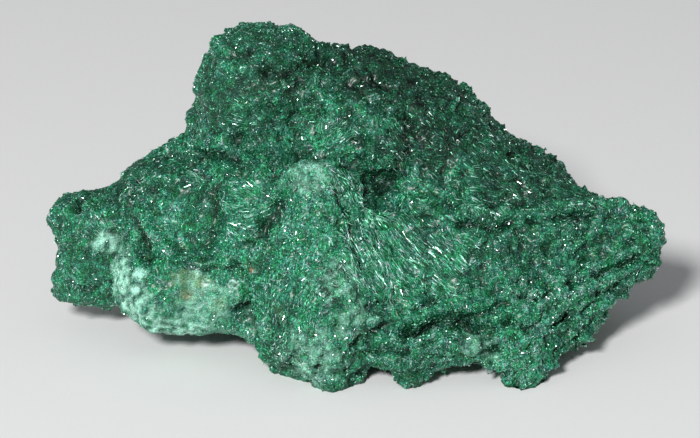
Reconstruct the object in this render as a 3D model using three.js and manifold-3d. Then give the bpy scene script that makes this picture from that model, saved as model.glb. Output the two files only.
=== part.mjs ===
// Fibrous malachite specimen: one broken piece of vein filling, about as long as a hand is wide.
// It grew as a single aggregate of needle sprays, so it is one solid: a long body with a crown knob at
// the upper left, a domed back that slopes down to a wing tip on the right, a pointed prow at the front,
// a round shoulder and a squared tail on the left, and a few worn feet that it stands on.
// Millimetres. +X runs along the stone, +Y from the front to the back, +Z up from the table.

import * as THREE from "three";
import { mergeVertices } from "three/addons/utils/BufferGeometryUtils.js";
import { ImprovedNoise } from "three/addons/math/ImprovedNoise.js";
import Module from "manifold-3d";

// ---- Driving dimensions ----
const LENGTH = 120; // tip of the tail to tip of the wing
const FACETS = 21; // rows of triangles on each side of the starting ball, which sets how fine the skin is
const HEART = new THREE.Vector3(2, 0, 21); // a point well inside the stone that sees nearly all of the skin
const REACH = new THREE.Vector3(78, 56, 60); // half sizes of an egg that holds the whole stone
const UNDERSIDE = 3; // how high the underside hangs over the table between the feet

// Masses, each joined to the ones before it with a fillet of size blend. at is the middle, half the three
// half lengths, lean the turn in degrees about X, Y and Z. power sets the shape: 2 is an egg, more is a
// block with flat sides, and near 1 is a crystal shape with points and straight edges.
const MASSES = [
  { name: "core", at: [2, 2, 19], half: [40, 20, 18], lean: [0, 4, 0], power: 2.6, blend: 0 },
  { name: "back left", at: [-18, 15, 20], half: [20, 15, 18.5], lean: [10, -8, 24], power: 4.5, blend: 3 },
  { name: "back middle", at: [6, 16, 24], half: [20, 15, 22], lean: [-16, 8, -12], power: 4.5, blend: 3 },
  { name: "back right", at: [29, 12, 16], half: [19, 13, 13], lean: [6, 20, -26], power: 4.5, blend: 3 },
  { name: "dome", at: [3, 9.5, 40.5], half: [22.5, 17.5, 14.5], lean: [-6, 18, 0], power: 2.5, blend: 4 },
  { name: "slope", at: [28, 6, 27.5], half: [26.5, 14, 10.5], lean: [0, 35, 0], power: 2.8, blend: 3 },
  { name: "crown", at: [-20.3, 9, 46.3], half: [13.2, 14.5, 14.8], lean: [6, 12, 10], power: 2.8, blend: 2 },
  { name: "shoulder", at: [-35.5, 3, 26], half: [15, 14, 11.5], lean: [0, -27, 0], power: 2.5, blend: 2.5 },
  { name: "saddle", at: [-19, -1, 28.5], half: [13.5, 15, 16], lean: [0, 0, 0], power: 2.4, blend: 3 },
  { name: "haunch", at: [-31.5, -3, 14.8], half: [18.5, 14, 10.3], lean: [0, 5, 0], power: 2.7, blend: 2.5 },
  { name: "tail", at: [-54.5, 4, 17.2], half: [7.2, 8.5, 11.8], lean: [8, 4, 10], power: 3.5, blend: 2.5 },
  { name: "prow", at: [-6, -13, 12.5], half: [18, 17, 30.5], lean: [-4, -3, 0], power: 1.5, blend: 3.5 },
  { name: "flank", at: [18.5, -9, 9.5], half: [26.5, 13, 18.5], lean: [-38, 0, 6], power: 3.4, blend: 3 },
];

// Tapered bars along the ridges and out to the tips, from one end to the other.
const RIDGES = [
  { name: "wing", from: [28, 1, 25], to: [56.5, 0, 24], thick: [10, 4], blend: 3.5 },
  { name: "wing edge", from: [40, -8, 10.5], to: [55, -1, 18], thick: [8, 5.2], blend: 3 },
];

// Pockets between the masses.
const HOLLOWS = [
  { name: "pocket", at: [4, -11, 35], half: [4.5, 6, 3], lean: [0, 25, 0], power: 2, blend: 1.5 },
];

// Feet, each a tapered bar that reaches the table.
const FEET = [
  { name: "front foot", from: [-8, -19, 7], to: [-5, -23, 2], thick: [11, 5.5], blend: 3 },
  { name: "middle foot", from: [10, -21, 7], to: [9.5, -25, 2], thick: [6, 4], blend: 2.5 },
  { name: "right foot", from: [31, -18, 8], to: [32, -22, 2.5], thick: [7, 5.5], blend: 2.5 },
  { name: "back left foot", from: [-16, 17, 10], to: [-19, 20, 4], thick: [11, 7], blend: 6 },
  { name: "back right foot", from: [22, 15, 10], to: [25, 17, 4], thick: [10, 7], blend: 6 },
];

// Lumps of the surface, rounded, with a crease between one and the next: wavelength and height of each size.
const LUMPS = [
  { across: 24, height: 2.6 },
  { across: 12, height: 2.2 },
  { across: 6.5, height: 1.2 },
];

// ---- The stone as a field: negative inside, zero at the skin, about one per millimetre ----
const noise = new ImprovedNoise();
const spot = new THREE.Vector3();

/** Gives a mass or hollow the rotation that takes a point into its own axes. */
function placed(shape) {
  const [x, y, z] = shape.lean.map(THREE.MathUtils.degToRad);
  const turn = new THREE.Quaternion().setFromEuler(new THREE.Euler(x, y, z)).invert();
  return { ...shape, turn, middle: new THREE.Vector3(...shape.at), size: new THREE.Vector3(...shape.half) };
}

/** Gives a bar its start and its run as vectors. */
function drawn(bar) {
  const start = new THREE.Vector3(...bar.from);
  return { ...bar, start, run: new THREE.Vector3(...bar.to).sub(start) };
}

/** Distance to a mass, close to true near its skin: its size norm, over how fast that norm grows here. */
function toMass(point, { middle, turn, size, power }) {
  spot.subVectors(point, middle).applyQuaternion(turn).divide(size);
  const [x, y, z] = [Math.abs(spot.x) + 1e-6, Math.abs(spot.y) + 1e-6, Math.abs(spot.z) + 1e-6];
  const [a, b, c] = [x ** power, y ** power, z ** power];
  const sum = a + b + c;
  const near = sum ** (1 / power);
  return (near - 1) / ((near / sum) * Math.hypot(a / x / size.x, b / y / size.y, c / z / size.z));
}

/** Distance to a bar whose thickness changes evenly from one end to the other. */
function toBar(point, bar) {
  const along = spot.subVectors(point, bar.start).dot(bar.run) / bar.run.lengthSq();
  const t = THREE.MathUtils.clamp(along, 0, 1);
  spot.addScaledVector(bar.run, -t);
  return spot.length() - THREE.MathUtils.lerp(bar.thick[0], bar.thick[1], t);
}

/** The smaller of two distances, with a fillet of size blend where they meet. */
function joined(a, b, blend) {
  const h = Math.max(blend - Math.abs(a - b), 0) / Math.max(blend, 1e-6);
  return Math.min(a, b) - (h * h * blend) / 4;
}

const masses = MASSES.map(placed);
const hollows = HOLLOWS.map(placed);
const ridges = RIDGES.map(drawn);
const feet = FEET.map(drawn);

function lumps(point) {
  let rise = 0;
  for (const { across, height } of LUMPS) {
    const wave = noise.noise(point.x / across + 7.3, point.y / across + 1.9, point.z / across + 4.1);
    rise += height * (Math.abs(wave) - 0.2);
  }
  return rise;
}

function field(point) {
  let d = Infinity;
  for (const mass of masses) d = joined(d, toMass(point, mass), mass.blend);
  for (const ridge of ridges) d = joined(d, toBar(point, ridge), ridge.blend);
  for (const hollow of hollows) d = -joined(-d, toMass(point, hollow), hollow.blend);
  d = -joined(-d, point.z - UNDERSIDE, UNDERSIDE);
  for (const foot of feet) d = joined(d, toBar(point, foot), foot.blend);
  return d - lumps(point);
}

// ---- The skin: a ball of triangles drawn in onto the field ----
const probe = new THREE.Vector3();

/** How the field grows along each axis, from its value here and a short step away. */
function slopeAt(point, here, out) {
  const step = 0.1;
  out.x = (field(probe.set(point.x + step, point.y, point.z)) - here) / step;
  out.y = (field(probe.set(point.x, point.y + step, point.z)) - here) / step;
  out.z = (field(probe.set(point.x, point.y, point.z + step)) - here) / step;
  return out;
}

/** Moves a point from the egg straight towards the heart until it meets the stone. */
function drawnIn(direction) {
  const outside = direction.clone().multiply(REACH);
  const at = (share) => probe.copy(outside).multiplyScalar(share).add(HEART);
  let share = 1;
  while (share > 0.02 && field(at(share)) > 0) share -= 0.01;
  let [low, high] = [share, share + 0.01];
  for (let i = 0; i < 10; i++) {
    const middle = (low + high) / 2;
    if (field(at(middle)) > 0) high = middle;
    else low = middle;
  }
  return at(low).clone();
}

function neighboursOf(index, count) {
  const sets = Array.from({ length: count }, () => new Set());
  for (let i = 0; i < index.length; i += 3)
    for (let k = 0; k < 3; k++) {
      sets[index[i + k]].add(index[i + ((k + 1) % 3)]);
      sets[index[i + ((k + 1) % 3)]].add(index[i + k]);
    }
  return sets.map((set) => [...set]);
}

/** Evens out the triangles, far neighbours pulling most, and puts each corner back on the skin. */
function settle(points, neighbours, passes) {
  const slope = new THREE.Vector3();
  const mean = new THREE.Vector3();
  for (let pass = 0; pass < passes; pass++)
    points.forEach((point, i) => {
      const off = slopeAt(point, field(point), slope).lengthSq();
      mean.set(0, 0, 0);
      let sum = 0;
      for (const j of neighbours[i]) {
        const weight = point.distanceToSquared(points[j]);
        mean.addScaledVector(points[j], weight);
        sum += weight;
      }
      mean.divideScalar(sum).sub(point);
      mean.addScaledVector(slope, -mean.dot(slope) / off);
      point.addScaledVector(mean, 0.7);
      const back = -field(point) / Math.max(off, 0.25);
      point.addScaledVector(slope, THREE.MathUtils.clamp(back, -1.5, 1.5));
    });
}

function skin() {
  const ball = new THREE.IcosahedronGeometry(1, FACETS);
  ball.deleteAttribute("normal");
  ball.deleteAttribute("uv");
  const closed = mergeVertices(ball, 1e-4);
  const place = closed.getAttribute("position");
  const points = [];
  for (let i = 0; i < place.count; i++)
    points.push(drawnIn(new THREE.Vector3().fromBufferAttribute(place, i)));
  settle(points, neighboursOf(closed.index.array, place.count), 40);
  points.forEach((point, i) => place.setXYZ(i, point.x, point.y, point.z));
  return closed;
}

// ---- Solid ----
const wasm = await Module();
wasm.setup();

function toSolid(geometry) {
  return new wasm.Manifold(
    new wasm.Mesh({
      numProp: 3,
      vertProperties: new Float32Array(geometry.getAttribute("position").array),
      triVerts: new Uint32Array(geometry.index.array),
    }),
  );
}

function toGeometry(solid) {
  const { vertProperties, triVerts } = solid.getMesh();
  const made = new THREE.BufferGeometry();
  made.setAttribute("position", new THREE.BufferAttribute(vertProperties, 3));
  made.setIndex(new THREE.BufferAttribute(triVerts, 1));
  return made;
}

/** What lies below the table plane, which the feet are worn down to. */
function table() {
  const slab = new THREE.BoxGeometry(2 * LENGTH, 2 * LENGTH, LENGTH);
  slab.translate(0, 0, -LENGTH / 2);
  slab.deleteAttribute("normal");
  slab.deleteAttribute("uv");
  return mergeVertices(slab, 1e-4);
}

function stone() {
  const worn = toGeometry(toSolid(skin()).subtract(toSolid(table())));
  worn.computeBoundingBox();
  const middle = worn.boundingBox.getCenter(new THREE.Vector3());
  const scale = LENGTH / (worn.boundingBox.max.x - worn.boundingBox.min.x);
  worn.translate(-middle.x, -middle.y, 0);
  worn.scale(scale, scale, scale);
  worn.computeVertexNormals();
  const malachite = new THREE.MeshStandardMaterial({ color: 0x2f7a5c, roughness: 0.45, metalness: 0 });
  const mesh = new THREE.Mesh(worn, malachite);
  mesh.name = "malachite";
  return mesh;
}

const specimen = new THREE.Group();
specimen.add(stone());

export default specimen;
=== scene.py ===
import math

import bpy
import numpy as np
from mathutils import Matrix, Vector


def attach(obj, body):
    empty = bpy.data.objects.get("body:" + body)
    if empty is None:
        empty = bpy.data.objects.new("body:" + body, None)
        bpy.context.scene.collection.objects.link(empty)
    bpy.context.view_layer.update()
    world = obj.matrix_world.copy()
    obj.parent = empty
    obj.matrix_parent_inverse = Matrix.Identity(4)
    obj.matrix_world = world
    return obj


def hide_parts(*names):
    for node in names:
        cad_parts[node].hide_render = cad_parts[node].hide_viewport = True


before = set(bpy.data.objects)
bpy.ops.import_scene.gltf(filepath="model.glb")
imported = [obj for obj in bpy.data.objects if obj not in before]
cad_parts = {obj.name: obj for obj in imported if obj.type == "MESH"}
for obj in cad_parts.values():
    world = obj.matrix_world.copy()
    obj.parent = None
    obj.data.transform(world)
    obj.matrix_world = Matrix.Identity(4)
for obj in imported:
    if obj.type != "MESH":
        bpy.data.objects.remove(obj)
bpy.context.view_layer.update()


# ---------------------------------------------------------------------------------------------
# Stone
# One lump of fibrous malachite, broken out of a vein. It is the rock that the crystals stand on:
# a close dark green mass with folds, ledges and cracks, grown as one piece and not worked by hand.
# ---------------------------------------------------------------------------------------------
SKIN_CELL = 0.00054  # metres between neighbouring corners of the skin
NEEDLE_ROOM = 0.0003  # how far the skin lies inside the stone's outer size, for the needles to fill
WORN_FLAT = 0.0004  # below this height the stone is worn flat where it stands
FLAKE_TILT = 0.22  # how steeply the broken flakes of the skin are tipped
CHANCES = 4096  # how many slopes or seats a noise picks from


def smoothstep(low, high, value):
    share = np.clip((value - low) / (high - low), 0.0, 1.0)
    return share * share * (3.0 - 2.0 * share)


def pick_of(cell):
    """The same seemingly random pick, below CHANCES, every time for a cell of whole numbers."""
    mixed = (cell[:, 0] * 73856093) ^ (cell[:, 1] * 19349663) ^ (cell[:, 2] * 83492791)
    return (mixed ^ (mixed >> 9)) & (CHANCES - 1)


def noise(points, across, seed):
    """Smooth noise, mostly between -0.7 and 0.7, with one hill or dip every few `across` metres."""
    slopes = np.random.default_rng(seed).normal(size=(CHANCES, 3))
    slopes /= np.linalg.norm(slopes, axis=1, keepdims=True)
    place = points / across + 31.7 + 5.3 * (seed % 11)
    cell = np.floor(place).astype(np.int64)
    part = place - cell
    ease = part**3 * (part * (part * 6.0 - 15.0) + 10.0)
    total = np.zeros(len(points))
    for corner in np.ndindex(2, 2, 2):
        hill = np.einsum("ij,ij->i", slopes[pick_of(cell + corner)], part - corner)
        weight = np.prod(np.where(corner, ease, 1.0 - ease), axis=1)
        total += weight * hill
    return total


def unit(vectors):
    return vectors / np.maximum(np.linalg.norm(vectors, axis=-1, keepdims=True), 1e-12)


def near(points, middle, reach, ragged=0.35, seed=3):
    """From 1 at middle to 0 past reach, with a ragged edge. Both are in millimetres."""
    off = np.linalg.norm(points * 1000.0 - middle, axis=1) / reach
    off = off + ragged * 2.0 * noise(points, reach * 0.0004, seed)
    return 1.0 - smoothstep(0.45, 1.1, off)


def evened(node, cell):
    """A copy of a node's mesh in small even quads, with its facets smoothed away."""
    copy = bpy.data.objects.new("stone", node.data.copy())
    bpy.context.scene.collection.objects.link(copy)
    weld = copy.modifiers.new("weld", "WELD")
    weld.merge_threshold = 1e-6
    cells = copy.modifiers.new("cells", "REMESH")
    cells.mode = "VOXEL"
    cells.voxel_size = cell
    eased = copy.modifiers.new("eased", "SMOOTH")
    eased.factor = 0.5
    eased.iterations = 8
    shape = copy.evaluated_get(bpy.context.evaluated_depsgraph_get())
    copy.data = bpy.data.meshes.new_from_object(shape)
    copy.modifiers.clear()
    return copy


def corners_and_normals(mesh):
    corners = np.empty(len(mesh.vertices) * 3)
    mesh.vertices.foreach_get("co", corners)
    normals = np.empty(len(mesh.vertices) * 3)
    mesh.vertex_normals.foreach_get("vector", normals)
    return corners.reshape(-1, 3), normals.reshape(-1, 3)


def set_corners(mesh, corners):
    mesh.vertices.foreach_set("co", corners.ravel())
    mesh.update()


def tufted(points):
    """Rounded tufts of three sizes, in metres: high in the middle of a tuft, low in the creases."""
    rise = 0.0013 * (np.abs(noise(points, 0.0085, 21)) - 0.2)
    rise += 0.0013 * (np.abs(noise(points, 0.0042, 22)) - 0.2)
    return rise + 0.0009 * (np.abs(noise(points, 0.0019, 23)) - 0.2)


def flaked(points, across, tilt, seed):
    """Broken flakes: the skin in patches about `across` metres wide, each tipped its own way."""
    chance = np.random.default_rng(seed)
    seats = chance.random((CHANCES, 3))
    tips = chance.normal(size=(CHANCES, 3)) * tilt
    place = points / across + 17.3
    cell = np.floor(place).astype(np.int64)
    nearest = np.full(len(points), np.inf)
    rise = np.zeros(len(points))
    for step in np.ndindex(3, 3, 3):
        at = cell + step - 1
        pick = pick_of(at)
        off = place - at - seats[pick]
        far = np.einsum("ij,ij->i", off, off)
        closer = far < nearest
        nearest[closer] = far[closer]
        rise[closer] = np.einsum("ij,ij->i", off[closer], tips[pick[closer]])
    return rise * across


# Creases and lips in the rock. Each has its course in millimetres, the reach to its sides, and how
# far it stands out of the skin, or how deep it cuts where that is negative.
CREASES = [
    ([(-6, 5, 56), (-9, -2, 57), (-13, -6, 56), (-17, -8, 56)], 2.6, -1.5),  # behind the crown
    ([(-6, 4, 56), (-3, -4, 55), (0, -6, 54), (5, -3, 54)], 3.0, -0.9),
    ([(-26, -1, 57), (-22, -3, 58), (-20, -2, 59)], 1.6, -1.3),  # the curl of the crown
    ([(-28, 8, 56), (-28, 4, 54), (-30, 7, 51)], 1.6, -1.6),
    ([(-24, -8, 43), (-22, -9, 43), (-20, -11, 42)], 2.0, -1.4),  # where shoulder and crown meet
    ([(-10, -7, 47), (-8, -8, 44), (-10, -10, 41)], 1.8, -0.7),
    ([(10, -8, 47), (11, -9, 43), (9, -11, 39), (5, -9, 34)], 2.6, -2.2),  # right of the knob
    ([(-7, -12, 41), (-3, -12, 40), (2, -11, 38)], 2.2, -1.5),  # above the prow
    ([(-3, -20, 37), (-1, -22, 33), (1, -24, 28), (2, -26, 24)], 1.4, -1.8),  # beside the spine
    ([(-14, -18, 33), (-18, -19, 28), (-20, -19, 25)], 2.4, -1.5),  # left foot of the prow
    ([(-22, -18, 21), (-21, -19, 17), (-20, -20, 13)], 1.4, -0.8),
    ([(-21, -20, 12), (-21, -20, 9), (-19, -22, 6)], 2.4, -2.6),  # the open curl
    ([(-31, -18, 21), (-29, -18, 20), (-25, -18, 20), (-22, -18, 21)], 0.9, -1.1),
    ([(-43, -7, 31), (-44, -9, 29), (-42, -12, 26), (-40, -15, 22)], 2.6, -2.0),  # left of the lobe
    ([(-42, -3, 33), (-36, -6, 37), (-30, -4, 38), (-23, -10, 40)], 1.8, -1.4),  # under the shoulder
    ([(-27, -12, 34), (-27, -14, 30), (-28, -14, 25)], 3.0, -1.4),
    ([(-57, -6, 11), (-54, -6, 11), (-51, -6, 10)], 1.2, -1.6),  # under the tail
    ([(-54, -4, 27), (-53, 2, 29)], 1.3, -1.4),
    ([(20, -17, 30), (32, -14, 28), (46, -8, 27)], 1.5, -1.5),  # under the fold of the slope
    ([(9, -28, 11), (14, -26, 12.5), (18, -25, 13), (22, -25, 12), (25, -25, 10)], 1.9, -3.6),
    ([(19, -24, 14), (23, -24, 13), (28, -22, 15), (35, -20, 16)], 1.1, -1.6),
    ([(35, -20, 16), (40, -18, 16), (45, -14, 17), (50, -10, 18), (56, -8, 18)], 1.2, -2.0),
    ([(26, -27, 7), (27, -25, 10), (30, -25, 12), (33, -26, 11), (37, -23, 12)], 1.3, -2.0),
    ([(39, -22, 11), (44, -18, 11.5), (48, -14, 12.5), (51, -12, 14)], 1.2, -1.8),
    ([(-1, -31, 10), (2, -29, 11), (6, -26, 12), (10, -25, 14), (16, -22, 16)], 1.0, -1.3),
    ([(-1, -30, 7), (4, -28, 7), (9, -29, 8), (15, -28, 9)], 1.0, -1.2),
    ([(-12, -30, 6), (-6, -31, 5), (-1, -30, 4)], 1.0, -1.2),
]
LIPS = [
    ([(-26, 5, 58), (-26, -3, 57), (-23, -5, 56), (-20, -7, 57), (-18, -6, 58)], 1.8, 1.1),  # crown
    ([(-31, 9, 50), (-30, 2, 50)], 3.0, 0.9),
    ([(-4, -9, 49), (-1, -9, 50), (3, -9, 47), (4, -10, 43), (2, -11, 39)], 2.6, 1.3),  # the knob
    ([(-14, -17, 36), (-12, -16, 38.5), (-8, -16, 40), (-5, -17, 38)], 2.0, 2.0),  # top of the prow
    ([(-5, -20, 36), (-4, -23, 31), (-2, -27, 24), (-1, -30, 17)], 1.6, 1.7),  # its spine
    ([(-18, -20, 27), (-19.5, -20, 24), (-19, -21, 19)], 1.4, 1.0),
    ([(-20, -21, 14), (-18, -22, 12.5), (-17, -24, 9)], 1.3, 1.2),
    ([(-35, -9, 36), (-39, -7, 34), (-41, -9, 30), (-38, -14, 25), (-36, -16, 22)], 1.6, 1.8),  # lobe
    ([(-32, -9, 36.5), (-30, -10, 35.5), (-27, -11, 35.5)], 1.4, 1.0),
    ([(-44, 5, 34), (-36, 2, 38), (-30, -1, 39), (-25, -7, 41.5)], 1.8, 1.7),  # top of the shoulder
    ([(20, -16, 32), (32, -13, 30), (46, -6, 29), (54, -4, 28)], 1.6, 1.6),  # fold of the slope
    ([(14, -26, 14.5), (19, -25, 15), (24, -24, 14.5), (34, -20, 17.5)], 1.6, 1.0),
    ([(12, -29, 9), (18, -28, 9), (23, -27, 8)], 2.0, 0.9),
    ([(37, -20, 14), (43, -16, 14.5), (49, -12, 16)], 1.7, 0.9),
    ([(-57, -3, 26), (-58, -1, 25), (-59, 1, 22)], 1.8, 1.0),  # corners of the tail
    ([(-58, -3, 12), (-58, -2, 9)], 2.2, 1.2),
]

# Where the whole skin swells or draws in: middle and reach in millimetres, and by how much.
SWELLS = [
    ((-10, 7, 60), 6, 1.2),
    ((-28, 7, 57), 4, 0.7),
    ((-33, 7, 45), 6, -0.9),
    ((-41, 4, 34), 6, 1.2),
    ((-35, 7, 38), 6, 0.9),
    ((-52, 1, 29), 4, -1.0),
    ((-58, 2, 26), 4, 1.3),
    ((-58, 0, 9), 5, 1.2),
    ((-60, 0, 17), 5, -0.5),
    ((-31, -13, 5), 8, 1.3),
    ((-15, -28, 5), 6, -1.3),
    ((42, -20, 7), 6, -1.4),
    ((60, -2, 23), 5, 0.8),
    ((53, 0, 29), 5, -0.8),
    ((41, 9, 38), 5, 0.7),
    ((2, 8, 57), 9, 0.5),
    ((-34, -13, 29), 8, 0.9),
    ((-40, -16, 13), 7, 0.6),
    ((-1, -10, 44), 5, 0.8),
]


def off_course(points, course):
    """How far each point lies from a bent line, in the line's own unit."""
    nearest = np.full(len(points), np.inf)
    for start, end in zip(course[:-1], course[1:]):
        start, along = np.array(start, float), np.subtract(end, start).astype(float)
        share = np.clip((points - start) @ along / (along @ along), 0.0, 1.0)
        off = points - start - share[:, None] * along
        nearest = np.minimum(nearest, np.linalg.norm(off, axis=1))
    return nearest


def wandering(points):
    """The places in millimetres, shifted a little so that courses wander."""
    shift = np.stack([noise(points, 0.0045, seed) for seed in (36, 37, 38)], axis=1)
    shift += 0.5 * np.stack([noise(points, 0.0018, seed) for seed in (39, 40, 41)], axis=1)
    return points * 1000.0 + 1.7 * shift


def creased(place):
    """What the swells and lips add and the creases take away, in metres."""
    change = np.zeros(len(place))
    for middle, reach, height in SWELLS:
        share = np.clip(np.linalg.norm(place - middle, axis=1) / (1.5 * reach), 0.0, 1.0)
        change += height * (1.0 - share * share) ** 2
    for course, reach, height in LIPS:
        share = np.clip(off_course(place, course) / (1.3 * reach), 0.0, 1.0)
        change += 1.3 * height * (1.0 - share * share) ** 2
    for course, reach, height in CREASES:
        share = np.clip(off_course(place, course) / (1.1 * reach), 0.0, 1.0)
        change += 1.5 * height * (1.0 - share) ** 1.4
    return change * 0.001


def crease_bottom_shade(place):
    """1 in the narrow bottom of a crease, 0 beside it: where painted shade is darkest."""
    deep = np.zeros(len(place))
    for course, reach, height in CREASES:
        share = off_course(place, course) / (0.55 * reach)
        deep = np.maximum(deep, min(1.0, -0.6 * height) * (1.0 - smoothstep(0.3, 1.0, share)))
    return deep


def ledged(points):
    """Thin layers that end one over the other, low on the right, in metres."""
    x, y, z = (points * 1000.0).T
    bent = 2.2 * noise(points, 0.012, 31) + 0.9 * noise(points, 0.004, 32)
    height = z * 0.93 - (x - 20.0) * 0.34 + bent
    low_right = smoothstep(0.0, -8.0, y) * smoothstep(4.0, 14.0, x) * smoothstep(19.0, 11.0, height)
    layer = (height / 2.7) % 1.0
    return low_right * 0.0009 * (layer - 0.5 - smoothstep(0.82, 1.0, layer) * 0.9)


# Places where the needles lie down side by side: middle and reach in millimetres, the way they run,
# and how many of them do. The rock is smoother there.
DRAPE_EDGE = 0.3  # how ragged the edge of such a place is
DRAPES = [
    ((6, -22, 27), 12, (0.55, -0.35, -0.75), 1.0),
    ((15, -19, 24), 9, (0.75, -0.30, -0.60), 0.9),
    ((-2, -16, 38), 6, (0.45, -0.55, -0.70), 0.7),
    ((26, -8, 35), 11, (0.80, -0.35, -0.45), 0.45),
    ((12, -6, 42), 9, (0.70, -0.50, -0.50), 0.55),
    ((40, -4, 31), 10, (0.90, -0.15, -0.35), 0.25),
    ((-21, -17, 32), 7, (-0.75, -0.30, 0.45), 0.6),
    ((-40, -4, 34), 9, (-0.80, -0.30, -0.40), 0.3),
    ((-12, -26, 16), 8, (-0.35, -0.45, -0.80), 0.45),
]

stone_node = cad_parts["malachite"]
stone = evened(stone_node, SKIN_CELL)
rest_points, rest_normals = corners_and_normals(stone.data)
worn_flat = rest_points[:, 2] < WORN_FLAT
rest_place = wandering(rest_points)

# Flakes and tufts are roughest on the bare right side, and weaker on the left and under laid needles.
laid_over = [near(rest_points, at, reach, DRAPE_EDGE, 51) * full for at, reach, run, full in DRAPES]
rough_share = 1.0 - 0.6 * np.max(laid_over, axis=0)
rough_share *= 0.45 + 0.55 * smoothstep(-0.028, -0.002, rest_points[:, 0])
swell = tufted(rest_points) * (0.4 + 0.6 * rough_share) + ledged(rest_points) + creased(rest_place)
bends = np.stack([noise(rest_points, 0.0022, seed) for seed in (11, 12, 13)], axis=1)
bent_points = rest_points + 0.0009 * bends
flakes = flaked(bent_points, 0.0030, FLAKE_TILT, 61) + flaked(bent_points, 0.0016, FLAKE_TILT, 62)
swell += rough_share * flakes
skin_points = rest_points + rest_normals * (swell - NEEDLE_ROOM)[:, None]
skin_points[:, 2] = np.where(worn_flat, 0.0, np.maximum(skin_points[:, 2], 0.0003))
set_corners(stone.data, skin_points)
skin_points, skin_normals = corners_and_normals(stone.data)

# Where the stone is paler, or darker if the last number is negative: partly the stone's own tone, and
# partly painted light and shade, paler on front faces that the lamp falls on, darker in crevices and low
# at the front.
# Each has its middle and reach in millimetres and its strength. The pale crust, the brown stain and the
# rust flecks are given likewise.
TONES_AND_PAINTED_LIGHT = [
    ((6, 4, 54), 19, -0.38),
    ((24, -2, 38), 16, -0.22),
    ((44, 0, 31), 9, -0.20),
    ((34, 8, 38), 8, -0.14),
    ((-21, -2, 59), 4, -0.22),
    ((-13, -7, 55), 7, -0.20),
    ((1, -7, 53), 6, -0.16),
    ((-25, -5, 50), 10, -0.20),
    ((3, -10, 43), 4, -0.22),
    ((11, -9, 43), 4, -0.24),
    ((5, -9, 34), 3, -0.30),
    ((15, -7, 44), 8, -0.24),
    ((-41, -3, 34), 8, -0.20),
    ((-32, -12, 33), 4, -0.22),
    ((-43, -8, 30), 4, -0.26),
    ((-41, -15, 22), 3, -0.20),
    ((-30, -18, 21), 4, -0.12),
    ((-15, -21, 26), 4, -0.16),
    ((11, -18, 29), 5, -0.20),
    ((14, -19, 24), 4, -0.12),
    ((28, -16, 26), 9, -0.18),
    ((35, -14, 26), 4, -0.14),
    ((-33, -10, 36), 5, -0.22),
    ((-18, -8, 55), 5, -0.18),
    ((22, -25, 12), 3, -0.32),
    ((10, -30, 5), 4, -0.16),
    ((24, -27, 7), 4, -0.18),
    ((-24, -17, 20), 20, 0.12),
    ((30, -24, 10), 18, 0.12),
    ((20, -20, 20), 8, 0.08),
    ((34, 0, 34), 14, -0.08),
    ((-9, -18, 38), 7, 0.38),
    ((-10, -24, 27), 8, 0.42),
    ((-5, -31, 14), 9, 0.16),
    ((2, -18, 33), 6, 0.22),
    ((9, -19, 25), 6, 0.24),
    ((6, -24, 18), 8, 0.20),
    ((-15, -18, 32), 4, 0.16),
    ((-3, 10, 56), 5, 0.10),
    ((-5, -9, 44), 4, 0.32),
    ((-11, -8, 44), 4, 0.20),
    ((-22, -10, 42), 4, 0.16),
    ((-29, -10, 37), 2.5, 0.24),
    ((7, -13, 31), 4, 0.16),
    ((7, -10, 42), 2.5, 0.16),
    ((19, -3, 46), 4, 0.18),
    ((21, -12, 35), 5, 0.26),
    ((30, -14, 29), 3.5, 0.26),
    ((37, -13, 28), 3.5, 0.26),
    ((42, -12, 21), 6, 0.18),
    ((47, -14, 13), 7, 0.14),
    ((0, -29, 20), 5, 0.16),
    ((-1, -30, 4), 4, 0.20),
    ((15, -29, 5), 4, 0.16),
    ((-39, -17, 21), 5, 0.16),
    ((-17, -6, 59), 2.5, 0.20),
    ((-29, 0, 42), 7, 0.12),
    ((-35, 2, 36), 6, 0.10),
    ((-38, -13, 25), 6, 0.24),
    ((-21, -19, 16), 6, 0.32),
    ((-23, -18, 10), 9, 0.36),
    ((-52, -7, 13), 5, 0.14),
    ((12, -26, 12), 5, 0.16),
    ((38, -21, 11), 8, 0.24),
    ((32, -28, 6), 7, 0.18),
    ((58, -4, 25), 4, 0.20),
]
CHALK = [
    ((-48, -8, 21), 3.5, 0.8),
    ((-46, -12, 17), 5.2, 1.0),
    ((-42, -15, 13), 6.0, 1.0),
    ((-39, -17, 9), 5, 0.9),
    ((-34, -17, 6), 5.5, 1.0),
    ((-31, -19, 18), 3, 0.6),
    ((-29, -19, 12), 7, 0.40),
    ((-9, -17, 39), 5, 0.42),
    ((-8, -30, 7), 7, 0.44),
    ((-3, -29, 22), 5, 0.30),
    ((0, -30, 15), 5, 0.35),
    ((24, -27, 8), 4, 0.4),
]
STAIN = [
    ((-33, -18, 18), 2.4, 0.55),
    ((-30, -19, 18), 2.2, 0.60),
    ((-32, -19, 15), 1.8, 0.45),
    ((-26, -19, 13), 2.2, 0.40),
    ((-15, -27, 15), 1.8, 0.40),
]
RUST = [((-21, -20, 21), 1.7, 1.0), ((-32, -19, 15), 1.0, 0.3)]


def spots(points, places, seed):
    """The strongest of several ragged spots at each point."""
    return np.max([near(points, at, reach, 0.45, seed) * full for at, reach, full in places], axis=0)


def levelled(mesh, values, times):
    """The values at the mesh's corners, each blended with its neighbours' that many times."""
    pairs = np.empty(len(mesh.edges) * 2, dtype=np.int32)
    mesh.edges.foreach_get("vertices", pairs)
    ends = np.concatenate([pairs, pairs.reshape(-1, 2)[:, ::-1].ravel()]).reshape(-1, 2)
    here, there = ends[:, 0], ends[:, 1]
    neighbours = np.bincount(here, minlength=len(values))
    for _ in range(times):
        sums = [np.bincount(here, weights=column[there], minlength=len(values)) for column in values.T]
        values = 0.5 * values + 0.5 * np.stack(sums, axis=1) / neighbours[:, None]
    return values


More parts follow.
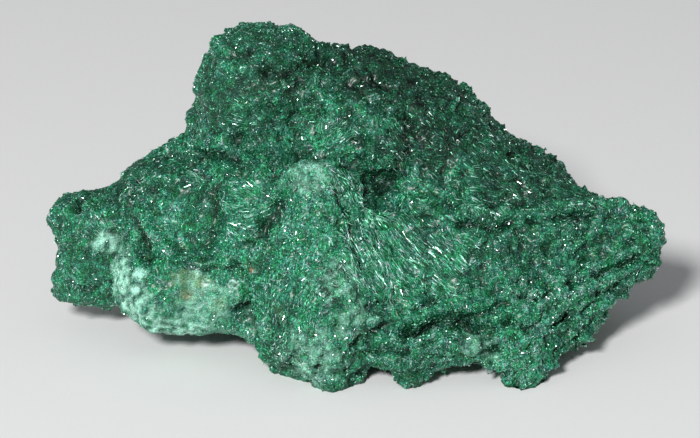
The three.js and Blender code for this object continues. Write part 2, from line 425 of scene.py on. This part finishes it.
def coloured_by(mesh, **shares):
    """Stores one number per corner for each name, which the materials read."""
    for name, values in shares.items():
        layer = mesh.attributes.new(name, "FLOAT", "POINT")
        layer.data.foreach_set("value", np.ascontiguousarray(values, dtype=np.float32))


# How far each place stands above the ground round it, for painted light and shade: crests are painted
# paler and creases darker.
crest = np.einsum("ij,ij->i", skin_points - levelled(stone.data, skin_points, 24), skin_normals)
crest = np.clip(crest / 0.00045, -1.0, 1.0)
tone_and_painted_light = sum(near(skin_points, at, reach, 0.35, 41) * change for at, reach, change in TONES_AND_PAINTED_LIGHT)
# lit holds the stone's own tone with random patches, and painted light and shade: the spots above, and
# crests painted paler.
lit = 0.665 + 1.12 * tone_and_painted_light
lit += 0.26 * noise(skin_points, 0.0060, 46) + 0.50 * noise(skin_points, 0.0018, 47) + 0.16 * crest
lit += 0.36 * smoothstep(0.15, 0.42, noise(skin_points, 0.0017, 49))
lit = np.clip(lit, 0.0, 1.0)
chalk = spots(skin_points, CHALK, 43) * smoothstep(-0.35, 0.2, noise(skin_points, 0.0015, 48))
stain = spots(skin_points, STAIN, 44) * smoothstep(-0.4, 0.3, noise(skin_points, 0.0013, 50))
rust = spots(skin_points, RUST, 45)
# Painted shade: darker where the skin is pushed in, where it sinks below its neighbours, and at the
# bottom of each crease.
hollow = 0.8 * np.maximum(smoothstep(0.0001, -0.0022, swell), 0.8 * smoothstep(-0.1, -1.0, crest))
hollow = np.maximum(hollow, crease_bottom_shade(rest_place))
coloured_by(stone.data, lit=lit, chalk=chalk, stain=stain, rust=rust, hollow=hollow)


def grow(tree, kind, at, **values):
    """Adds a node. values sets its properties, or by input name with underscores for spaces."""
    node = tree.nodes.new(kind)
    node.location = at
    for name, value in values.items():
        socket = name.replace("_", " ")
        if socket in node.inputs.keys():
            node.inputs[socket].default_value = value
        else:
            setattr(node, name, value)
    return node


def group_of(name, ins, outs):
    """An empty node group with those sockets, and its input and output nodes."""
    tree = bpy.data.node_groups.new(name, "ShaderNodeTree")
    for title, kind, value in ins:
        made = tree.interface.new_socket(title, in_out="INPUT", socket_type=kind)
        made.default_value = value
    for title, kind in outs:
        tree.interface.new_socket(title, in_out="OUTPUT", socket_type=kind)
    return tree, grow(tree, "NodeGroupInput", (-900, 0)), grow(tree, "NodeGroupOutput", (900, 0))


def join(tree, *pairs):
    """Links each output to the input given with it."""
    for source, target in pairs:
        tree.links.new(source, target)


COLOR, VALUE, VECTOR = "NodeSocketColor", "NodeSocketFloat", "NodeSocketVector"

# Malachite's greens, from near black to pale green along Lit, which holds the stone's own tone and
# painted light.
# The shade input darkens the colour further: painted shade in creases and at the roots of the needles.
tones, tones_in, tones_out = group_of(
    "Malachite tones",
    [
        ("Lit", VALUE, 0.5),
        ("Depth", VALUE, 0.0),
        ("Chalk", VALUE, 0.0),
        ("Stain", VALUE, 0.0),
        ("Rust", VALUE, 0.0),
    ],
    [("Color", COLOR), ("Matt", VALUE)],
)
greens = grow(tones, "ShaderNodeValToRGB", (-600, 200))
greens.color_ramp.elements[0].position = 0.0
greens.color_ramp.elements[0].color = (0.002, 0.026, 0.014, 1)
greens.color_ramp.elements[1].position = 1.0
greens.color_ramp.elements[1].color = (0.42, 0.88, 0.70, 1)
for position, color in (
    (0.3, (0.005, 0.11, 0.054, 1)),
    (0.55, (0.018, 0.28, 0.145, 1)),
    (0.8, (0.07, 0.52, 0.31, 1)),
):
    greens.color_ramp.elements.new(position).color = color
# The green itself wanders from grassy to bluish, from thread to thread.
tint_place = grow(tones, "ShaderNodeNewGeometry", (-1100, 500))
tint_noise = grow(tones, "ShaderNodeTexNoise", (-850, 500), Scale=500.0, Detail=5.0, Roughness=0.85)
tints = grow(tones, "ShaderNodeValToRGB", (-600, 500))
tints.color_ramp.elements[0].position = 0.38
tints.color_ramp.elements[0].color = (0.22, 0.96, 0.55, 1)
tints.color_ramp.elements[1].position = 0.64
tints.color_ramp.elements[1].color = (2.30, 1.0, 1.45, 1)
tints.color_ramp.elements.new(0.50).color = (1.0, 1.0, 1.0, 1)
tinted = grow(tones, "ShaderNodeMix", (-400, 350), data_type="RGBA", blend_type="MULTIPLY", Factor=1.0)
chalky = grow(tones, "ShaderNodeMix", (-300, 200), data_type="RGBA")
chalky.inputs["B"].default_value = (0.54, 0.98, 0.80, 1)
stained = grow(tones, "ShaderNodeMix", (-80, 200), data_type="RGBA")
stained.inputs["B"].default_value = (0.24, 0.40, 0.17, 1)
rusted = grow(tones, "ShaderNodeMix", (140, 200), data_type="RGBA")
rusted.inputs["B"].default_value = (0.42, 0.12, 0.03, 1)
# Painted shade: the colour is multiplied towards this dark green in creases and at the needles' roots.
shaded = grow(tones, "ShaderNodeMix", (380, 200), data_type="RGBA", blend_type="MULTIPLY")
shaded.inputs["B"].default_value = (0.18, 0.26, 0.22, 1)
matt = grow(tones, "ShaderNodeMath", (140, -150), operation="MAXIMUM")
join(
    tones,
    (tones_in.outputs["Lit"], greens.inputs["Fac"]),
    (tint_place.outputs["Position"], tint_noise.inputs["Vector"]),
    (tint_noise.outputs["Fac"], tints.inputs["Fac"]),
    (greens.outputs["Color"], tinted.inputs["A"]),
    (tints.outputs["Color"], tinted.inputs["B"]),
    (tinted.outputs["Result"], chalky.inputs["A"]),
    (tones_in.outputs["Chalk"], chalky.inputs["Factor"]),
    (chalky.outputs["Result"], stained.inputs["A"]),
    (tones_in.outputs["Stain"], stained.inputs["Factor"]),
    (stained.outputs["Result"], rusted.inputs["A"]),
    (tones_in.outputs["Rust"], rusted.inputs["Factor"]),
    (rusted.outputs["Result"], shaded.inputs["A"]),
    (tones_in.outputs["Depth"], shaded.inputs["Factor"]),
    (shaded.outputs["Result"], tones_out.inputs["Color"]),
    (tones_in.outputs["Chalk"], matt.inputs[0]),
    (tones_in.outputs["Stain"], matt.inputs[1]),
    (matt.outputs["Value"], tones_out.inputs["Matt"]),
)

# Fibre grain: fine threads and grains of the rock, for its colour and its relief.
grain, grain_in, grain_out = group_of(
    "Fibre grain",
    [("Size", VALUE, 0.0006), ("Stretch", VALUE, 3.0)],
    [("Shade", VALUE), ("Height", VALUE)],
)
place = grow(grain, "ShaderNodeNewGeometry", (-900, -250))
per_size = grow(grain, "ShaderNodeMath", (-700, 0), operation="DIVIDE")
per_size.inputs[0].default_value = 1.0
threads = grow(grain, "ShaderNodeTexNoise", (-300, 100), Detail=3.0, Roughness=0.6)
grains = grow(grain, "ShaderNodeTexVoronoi", (-300, -150), feature="F1")
spread = grow(grain, "ShaderNodeVectorMath", (-500, -250), operation="MULTIPLY")
long_way = grow(grain, "ShaderNodeCombineXYZ", (-700, -350), X=1.0, Y=1.0, Z=0.33)
shade = grow(grain, "ShaderNodeMath", (200, 100), operation="MULTIPLY_ADD")
shade.inputs[1].default_value = 1.8
shade.inputs[2].default_value = -0.4
rise = grow(grain, "ShaderNodeMath", (200, -100), operation="SUBTRACT")
one_over = grow(grain, "ShaderNodeMath", (-880, -400), operation="DIVIDE")
one_over.inputs[0].default_value = 1.0
join(
    grain,
    (grain_in.outputs["Size"], per_size.inputs[1]),
    (grain_in.outputs["Stretch"], one_over.inputs[1]),
    (one_over.outputs["Value"], long_way.inputs["Z"]),
    (place.outputs["Position"], spread.inputs[0]),
    (long_way.outputs["Vector"], spread.inputs[1]),
    (spread.outputs["Vector"], threads.inputs["Vector"]),
    (place.outputs["Position"], grains.inputs["Vector"]),
    (per_size.outputs["Value"], threads.inputs["Scale"]),
    (per_size.outputs["Value"], grains.inputs["Scale"]),
    (threads.outputs["Fac"], shade.inputs[0]),
    (shade.outputs["Value"], grain_out.inputs["Shade"]),
    (threads.outputs["Fac"], rise.inputs[0]),
    (grains.outputs["Distance"], rise.inputs[1]),
    (rise.outputs["Value"], grain_out.inputs["Height"]),
)


# Crystal facets: every fleck of the surface tipped its own way and a little lighter or darker.
facets, facets_in, facets_out = group_of(
    "Crystal facets",
    [("Size", VALUE, 0.0003), ("Tilt", VALUE, 0.5)],
    [("Normal", VECTOR), ("Shade", VALUE)],
)
skin_place = grow(facets, "ShaderNodeNewGeometry", (-900, -250))
fleck_scale = grow(facets, "ShaderNodeMath", (-700, 100), operation="DIVIDE")
fleck_scale.inputs[0].default_value = 1.0
flecks = grow(facets, "ShaderNodeTexVoronoi", (-500, 0), feature="F1")
centred = grow(facets, "ShaderNodeVectorMath", (-280, 0), operation="SUBTRACT")
centred.inputs[1].default_value = (0.5, 0.5, 0.5)
tipped = grow(facets, "ShaderNodeVectorMath", (-80, 0), operation="SCALE")
turned_by = grow(facets, "ShaderNodeVectorMath", (140, 0), operation="ADD")
facing = grow(facets, "ShaderNodeVectorMath", (340, 0), operation="NORMALIZE")
fleck_parts = grow(facets, "ShaderNodeSeparateColor", (-280, 250))
join(
    facets,
    (facets_in.outputs["Size"], fleck_scale.inputs[1]),
    (fleck_scale.outputs["Value"], flecks.inputs["Scale"]),
    (skin_place.outputs["Position"], flecks.inputs["Vector"]),
    (flecks.outputs["Color"], centred.inputs[0]),
    (centred.outputs["Vector"], tipped.inputs[0]),
    (facets_in.outputs["Tilt"], tipped.inputs["Scale"]),
    (tipped.outputs["Vector"], turned_by.inputs[0]),
    (skin_place.outputs["Normal"], turned_by.inputs[1]),
    (turned_by.outputs["Vector"], facing.inputs[0]),
    (facing.outputs["Vector"], facets_out.inputs["Normal"]),
    (flecks.outputs["Color"], fleck_parts.inputs["Color"]),
    (fleck_parts.outputs["Red"], facets_out.inputs["Shade"]),
)


def plain_material(name):
    made = bpy.data.materials.new(name)
    made.use_nodes = True
    return made, made.node_tree, made.node_tree.nodes["Principled BSDF"]


def toned(tree, shader, roughness, matt_roughness):
    """Places the tones group, fed by the corner numbers, and joins it to the shader."""
    tone = grow(tree, "ShaderNodeGroup", (-350, 200), node_tree=tones)
    for height, name in ((0, "chalk"), (-150, "stain"), (-300, "rust")):
        share = grow(tree, "ShaderNodeAttribute", (-900, height), attribute_name=name)
        tree.links.new(share.outputs["Fac"], tone.inputs[name.capitalize()])
    rough = grow(tree, "ShaderNodeMapRange", (-150, -100))
    rough.inputs["To Min"].default_value = roughness
    rough.inputs["To Max"].default_value = matt_roughness
    join(
        tree,
        (tone.outputs["Matt"], rough.inputs["Value"]),
        (rough.outputs["Result"], shader.inputs["Roughness"]),
        (tone.outputs["Color"], shader.inputs["Base Color"]),
    )
    return tone


rock, rock_tree, rock_shader = plain_material("malachite rock")
rock_shader.inputs["Metallic"].default_value = 0.5
rock_shader.inputs["Coat Weight"].default_value = 0.30
rock_shader.inputs["Coat Roughness"].default_value = 0.26
rock_tone = toned(rock_tree, rock_shader, 0.48, 0.8)
rock_flecks = grow(rock_tree, "ShaderNodeGroup", (-900, -650), node_tree=facets, Size=0.00022, Tilt=1.0)
rock_grain = grow(rock_tree, "ShaderNodeGroup", (-900, 400), node_tree=grain, Size=0.00045, Stretch=2.5)
rock_lit = grow(rock_tree, "ShaderNodeAttribute", (-900, 600), attribute_name="lit")
rock_painted_shade = grow(rock_tree, "ShaderNodeAttribute", (-900, -450), attribute_name="hollow")
rock_mix = grow(rock_tree, "ShaderNodeMath", (-600, 500), operation="MULTIPLY")
rock_fleck = grow(rock_tree, "ShaderNodeMath", (-600, 700), operation="MULTIPLY_ADD")
rock_fleck.inputs[1].default_value = 0.7
rock_fleck.inputs[2].default_value = 0.55
rock_value = grow(rock_tree, "ShaderNodeMath", (-480, 600), operation="MULTIPLY")
rock_relief = grow(rock_tree, "ShaderNodeBump", (-250, -350), Strength=0.8, Distance=0.00025)
join(
    rock_tree,
    (rock_lit.outputs["Fac"], rock_mix.inputs[0]),
    (rock_grain.outputs["Shade"], rock_mix.inputs[1]),
    (rock_flecks.outputs["Shade"], rock_fleck.inputs[0]),
    (rock_mix.outputs["Value"], rock_value.inputs[0]),
    (rock_fleck.outputs["Value"], rock_value.inputs[1]),
    (rock_value.outputs["Value"], rock_tone.inputs["Lit"]),
    (rock_flecks.outputs["Normal"], rock_relief.inputs["Normal"]),
    (rock_painted_shade.outputs["Fac"], rock_tone.inputs["Depth"]),
    (rock_grain.outputs["Height"], rock_relief.inputs["Height"]),
    (rock_relief.outputs["Normal"], rock_shader.inputs["Normal"]),
)

stone.data.materials.clear()
stone.data.materials.append(rock)
stone.data.polygons.foreach_set("use_smooth", np.ones(len(stone.data.polygons), dtype=bool))
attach(stone, "root")
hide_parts("malachite")


# ---------------------------------------------------------------------------------------------
# Needle sprays
# Malachite crystals that cover the whole stone: small grains, and blades up to 2 mm long that lie
# nearly flat, side by side. They grew out of the rock from many starts, in bunches that fan out.
# ---------------------------------------------------------------------------------------------
SPRAYS = 1100  # starts that the needles fan out from
PIECES = 4
NEEDLES = PIECES * 49500
IN_A_BUNCH = 3
GRAIN = 0.00019  # from the middle of a grain to its corners
BLADE_LENGTH, BLADE_WIDTH = 0.00100, 0.000115
BUNCH_REACH = 0.00040  # how far from the middle of a bunch its crystals stand
SEAT = 0.00009  # how deep a grain sits in the rock
LARGE_GRAIN = 2.1  # how many times its usual size a large grain is
TABLE_GAP = 0.00005  # no crystal reaches lower than this

# A crystal has four corners: its tip along its length, and three round its foot.
CRYSTAL = np.array([(3, 0, 0), (-1, 2.83, 0), (-1, -1.41, 2.45), (-1, -1.41, -2.45)]) / 3.0
CRYSTAL_FACES = np.array([(0, 1, 2), (0, 2, 3), (0, 3, 1), (3, 2, 1)])
CRYSTAL_MAP = np.array([(0.5, 0.36), (0.06, 0.06), (0.94, 0.06), (0.5, 0.94)])  # in its cell of the map

# Sprays that show best: where their blades come from, and the middle and reach of the part that shows,
# in millimetres.
FANS = [
    ((-12, -18, 33), (-20, -17, 33), 6),
    ((-8, -13, 40), (-4, -10, 44), 5),
    ((-46, -9, 20), (-50, -7, 24), 4),
    ((-24, -12, 38), (-30, -10, 36), 4),
    ((18, -13, 38), (22, -12, 34), 5),
    ((5, -10, 43), (12, -9, 39), 5),
    ((-14, -8, 45), (-20, -6, 48), 5),
]

luck = np.random.default_rng(2024)
start_index = luck.choice(len(skin_points), SPRAYS, replace=False)
start_points = skin_points[start_index]
start_reach = luck.uniform(0.0022, 0.0060, SPRAYS)
start_sweep = luck.normal(size=(SPRAYS, 3))
start_tone = luck.uniform(-1.0, 1.0, SPRAYS)


def spray_of(points):
    """The index of the spray that each point belongs to, and how far out in it the point lies."""
    pick = np.empty(len(points), dtype=np.int64)
    share = np.empty(len(points))
    for first in range(0, len(points), 4000):
        some = points[first : first + 4000]
        off = np.linalg.norm(some[:, None, :] - start_points[None, :, :], axis=2) / start_reach
        pick[first : first + 4000] = off.argmin(axis=1)
        share[first : first + 4000] = off.min(axis=1)
    return pick, share


def along_skin(vectors, normals):
    return unit(vectors - normals * np.einsum("ij,ij->i", vectors, normals)[:, None])


def lie_of(points, normals, spray, share):
    """Which way the needles point at each place, and how much they lie down together there."""
    outwards = along_skin(points - start_points[spray] + 1e-7, normals)
    sideways = unit(outwards * 0.7 + along_skin(start_sweep[spray], normals) * 0.6)
    lean = np.radians(76.0 + 9.0 * np.clip(share, 0.0, 1.2))
    way = normals * np.cos(lean)[:, None] + sideways * np.sin(lean)[:, None]
    laid = np.zeros(len(points))
    for middle, reach, run, full in DRAPES:
        here = near(points, middle, reach, DRAPE_EDGE, 51)
        flat = unit(along_skin(np.tile(run, (len(points), 1)), normals) + normals * 0.04)
        way = unit(way * (1.0 - here)[:, None] + flat * here[:, None])
        laid = np.maximum(laid, here * full)
    for hub, middle, reach in FANS:
        here = near(points, middle, reach, DRAPE_EDGE, 52)
        spokes = unit(along_skin(points - np.array(hub) * 0.001, normals) + normals * 0.05)
        way = unit(way * (1.0 - here)[:, None] + spokes * here[:, None])
        laid = np.maximum(laid, here * 0.65)
    return way, laid


stone.data.calc_loop_triangles()
triangles = np.empty(len(stone.data.loop_triangles) * 3, dtype=np.int32)
stone.data.loop_triangles.foreach_get("vertices", triangles)
triangles = triangles.reshape(-1, 3)
edge_a = skin_points[triangles[:, 1]] - skin_points[triangles[:, 0]]
edge_b = skin_points[triangles[:, 2]] - skin_points[triangles[:, 0]]
areas = np.linalg.norm(np.cross(edge_a, edge_b), axis=1) / 2.0

# Bunches stand all over the skin, fewer at the back and underneath, and none where a foot is worn flat.
BUNCHES = NEEDLES // IN_A_BUNCH
wanted = areas.copy()
wanted *= 1.0 - 0.35 * smoothstep(-0.2, 0.6, skin_normals[triangles[:, 0], 1])
wanted *= 1.0 - 0.45 * smoothstep(-0.3, -0.8, skin_normals[triangles[:, 0], 2])
wanted[skin_points[triangles].min(axis=1)[:, 2] < 0.0005] = 0.0
at_triangle = luck.choice(len(triangles), BUNCHES, p=wanted / wanted.sum())
mix_a, mix_b = luck.random(BUNCHES), luck.random(BUNCHES)
over = mix_a + mix_b > 1.0
mix_a[over], mix_b[over] = 1.0 - mix_a[over], 1.0 - mix_b[over]
bunch_corner = triangles[at_triangle, 0]
bunch_points = skin_points[bunch_corner] + edge_a[at_triangle] * mix_a[:, None]
bunch_points += edge_b[at_triangle] * mix_b[:, None]
bunch_normals = skin_normals[bunch_corner]
bunch_spray, bunch_share = spray_of(bunch_points)
bunch_way, bunch_laid = lie_of(bunch_points, bunch_normals, bunch_spray, bunch_share)
bunch_way = unit(bunch_way + 0.09 * luck.normal(size=(BUNCHES, 3)))
# A bunch's colour value: the skin's, shifted by spray and at random. The paler sprays are partly painted
# sheen.
bunch_lit = lit[bunch_corner] + 0.14 * start_tone[bunch_spray] + luck.normal(0.0, 0.10, BUNCHES)


def needle_arrays(bunches):
    """Corners, faces, cells on the map and corner numbers of every crystal in those bunches."""
    of = np.repeat(bunches, IN_A_BUNCH)
    count = len(of)
    normals = bunch_normals[of]
    laid = bunch_laid[of]
    aside = along_skin(luck.normal(size=(count, 3)), normals)
    roots = bunch_points[of] + aside * (BUNCH_REACH * np.sqrt(luck.random(count)))[:, None]
    loose = 0.09 + 0.05 * (1.0 - laid)
    way = unit(bunch_way[of] + loose[:, None] * luck.normal(size=(count, 3)))
    blade = luck.random(count) < 0.06 + 0.54 * laid
    way[~blade] = unit(luck.normal(size=(count, 3)))[~blade]
    across = unit(np.cross(way, luck.normal(size=(count, 3))))
    thick = np.cross(way, across)
    large = np.where(~blade & (luck.random(count) < 0.05), LARGE_GRAIN, 1.0)
    long = large * np.where(blade, BLADE_LENGTH * (0.45 + 0.75 * laid), GRAIN)
    long *= luck.uniform(0.6, 1.4, count)
    wide = large * np.where(blade, BLADE_WIDTH, GRAIN) * luck.uniform(0.75, 1.25, count)
    ahead = np.where(blade, long / 3.0, 0.0)
    sunk = SEAT * np.where(blade, 0.3, large**1.5)
    middle = roots + way * ahead[:, None] - normals * sunk[:, None]
    corners = middle[:, None] + CRYSTAL[None, :, :1] * (way * long[:, None])[:, None]
    corners += CRYSTAL[None, :, 1:2] * (across * wide[:, None])[:, None]
    corners += CRYSTAL[None, :, 2:] * (thick * wide[:, None])[:, None]
    keep = corners[:, :, 2].min(axis=1) > TABLE_GAP
    corners, of, large = corners[keep], of[keep], large[keep]
    count = len(of)
    faces = np.arange(count)[:, None, None] * 4 + CRYSTAL_FACES
    in_a_row = math.ceil(math.sqrt(count))
    cell = np.stack([np.arange(count) % in_a_row, np.arange(count) // in_a_row], axis=1) / in_a_row
    flat_map = (cell[:, None, :] + CRYSTAL_MAP / in_a_row)[:, CRYSTAL_FACES.ravel()]
    rise = np.einsum("ikj,ij->ik", corners - bunch_points[of][:, None], bunch_normals[of])
    # A crystal's own tone: paler or darker at random, large grains a little paler, and about a quarter
    # much paler, which is partly painted sparkle.
    own_lit = np.where(large > 1.0, 0.15, 0.0) + luck.normal(-0.06, 0.17, count)
    own_lit += np.where(luck.random(count) < 0.27, 0.62, 0.0)
    crusted = np.where(luck.random(count) < 0.80, 1.0, 0.4)
    bunch = np.repeat(of, 4)
    seat = bunch_corner[bunch]
    shares = {
        "lit": np.clip(bunch_lit[bunch] + np.repeat(own_lit, 4), 0.0, 1.0),
        "tip": smoothstep(-0.00015, 0.00025, rise).ravel(),
        "hollow": hollow[seat],
        "chalk": chalk[seat] * np.repeat(crusted, 4),
        "stain": stain[seat],
        "rust": rust[seat],
    }
    return corners.reshape(-1, 3), faces.reshape(-1, 3), flat_map.reshape(-1, 2), shares


def needle_mesh(name, bunches):
    corners, faces, flat_map, shares = needle_arrays(bunches)
    mesh = bpy.data.meshes.new(name)
    mesh.vertices.add(len(corners))
    mesh.vertices.foreach_set("co", corners.ravel())
    mesh.loops.add(faces.size)
    mesh.loops.foreach_set("vertex_index", faces.ravel().astype(np.int32))
    mesh.polygons.add(len(faces))
    mesh.polygons.foreach_set("loop_start", np.arange(0, faces.size, 3, dtype=np.int32))
    mesh.uv_layers.new(name="OFBake").uv.foreach_set("vector", flat_map.ravel())
    coloured_by(mesh, **shares)
    mesh.update()
    mesh.shade_flat()
    return mesh


# Needles have painted shade, darkest where they leave the rock and in creases, palest at the tip. Their
# sides are glossy.
silky, silky_tree, silky_shader = plain_material("malachite needles")
silky_shader.inputs["Metallic"].default_value = 0.55
silky_shader.inputs["Coat Weight"].default_value = 1.0
silky_shader.inputs["Coat Roughness"].default_value = 0.16
silky_shader.inputs["Coat IOR"].default_value = 1.6
silky_tone = toned(silky_tree, silky_shader, 0.46, 0.8)
silky_flecks = grow(silky_tree, "ShaderNodeGroup", (-300, -350), node_tree=facets, Size=0.0003, Tilt=0.5)
silky_tree.links.new(silky_flecks.outputs["Normal"], silky_shader.inputs["Normal"])
needle_lit = grow(silky_tree, "ShaderNodeAttribute", (-1100, 600), attribute_name="lit")
needle_tip = grow(silky_tree, "ShaderNodeAttribute", (-1100, 400), attribute_name="tip")
needle_crease_shade = grow(silky_tree, "ShaderNodeAttribute", (-1100, 200), attribute_name="hollow")
# Painted shade: 0.85 less the tip share, or the crease shade where that is more.
needle_root_shade = grow(silky_tree, "ShaderNodeMath", (-850, 400), operation="SUBTRACT")
needle_root_shade.inputs[0].default_value = 0.85
needle_root_shade.use_clamp = True
needle_painted_shade = grow(silky_tree, "ShaderNodeMath", (-600, 400), operation="MAXIMUM")
join(
    silky_tree,
    (needle_lit.outputs["Fac"], silky_tone.inputs["Lit"]),
    (needle_tip.outputs["Fac"], needle_root_shade.inputs[1]),
    (needle_root_shade.outputs["Value"], needle_painted_shade.inputs[0]),
    (needle_crease_shade.outputs["Fac"], needle_painted_shade.inputs[1]),
    (needle_painted_shade.outputs["Value"], silky_tone.inputs["Depth"]),
)


def needle_piece(name, bunches):
    piece = bpy.data.objects.new(name, needle_mesh(name, bunches))
    bpy.context.scene.collection.objects.link(piece)
    piece.data.materials.append(silky)
    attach(piece, "root")
    return piece


# The sprays are grown in four parts of the stone: left, middle front, right, and back.
at_back = bunch_normals[:, 1] >= 0.25
order = np.lexsort((bunch_points[:, 0], at_back))
for name, share_of_bunches in zip(("left", "front", "right", "back"), np.array_split(order, PIECES)):
    needle_piece("needles_" + name, share_of_bunches)


# ---------------------------------------------------------------------------------------------
# Studio
# A pale paper-covered table, one small bright lamp in front, above and a little to the left, soft
# light from all round, and a camera that looks down on the front of the stone.
# ---------------------------------------------------------------------------------------------
paper, paper_tree, paper_shader = plain_material("table paper")
paper_shader.inputs["Roughness"].default_value = 0.85
paper_shader.inputs["Specular IOR Level"].default_value = 0.2
paper_fleck = grow(paper_tree, "ShaderNodeTexNoise", (-700, 0), Scale=9.0, Detail=5.0)
paper_white = grow(paper_tree, "ShaderNodeMix", (-300, 0), data_type="RGBA")
paper_white.inputs["A"].default_value = (0.76, 0.76, 0.755, 1)
paper_white.inputs["B"].default_value = (0.82, 0.82, 0.815, 1)
join(
    paper_tree,
    (paper_fleck.outputs["Fac"], paper_white.inputs["Factor"]),
    (paper_white.outputs["Result"], paper_shader.inputs["Base Color"]),
)
sheet = bpy.data.meshes.new("table")
sheet.from_pydata([(-6, -6, 0), (6, -6, 0), (6, 6, 0), (-6, 6, 0)], [], [(0, 1, 2, 3)])
table = bpy.data.objects.new("table", sheet)
bpy.context.scene.collection.objects.link(table)
table.data.materials.append(paper)

LAMP_AWAY = 1.8
LAMP_AIM = Vector((0.0, 0.0, 0.02))
flash = bpy.data.lights.new("lamp", "AREA")
flash.shape = "DISK"
flash.size = 0.34
flash.energy = 40.0
lamp = bpy.data.objects.new("lamp", flash)
towards = Vector((-0.24, -0.80, 0.55)).normalized()
lamp.location = LAMP_AIM + towards * LAMP_AWAY
lamp.rotation_mode = "QUATERNION"
lamp.rotation_quaternion = towards.to_track_quat("Z", "Y")
bpy.context.scene.collection.objects.link(lamp)

sky = bpy.data.worlds.new("soft light")
bpy.context.scene.world = sky
sky.use_nodes = True
sky.node_tree.nodes["Background"].inputs["Color"].default_value = (0.95, 0.97, 1.0, 1)
sky.node_tree.nodes["Background"].inputs["Strength"].default_value = 0.25

CAMERA_TILT = math.radians(22.0)
CAMERA_AWAY = 0.75
CAMERA_AIM = Vector((0.0, -0.002, 0.024))
lens = bpy.data.cameras.new("camera")
lens.lens = 198.6
lens.sensor_width = 36.0
lens.clip_start = 0.01
lens.clip_end = 60.0
lens.shift_x = -0.0071
camera = bpy.data.objects.new("camera", lens)
back = Vector((0.0, -math.cos(CAMERA_TILT), math.sin(CAMERA_TILT)))
camera.location = CAMERA_AIM + back * CAMERA_AWAY
camera.rotation_mode = "QUATERNION"
camera.rotation_quaternion = (-back).to_track_quat("-Z", "Y")
bpy.context.scene.collection.objects.link(camera)
bpy.context.scene.camera = camera
bpy.context.scene.view_settings.view_transform = "Standard"
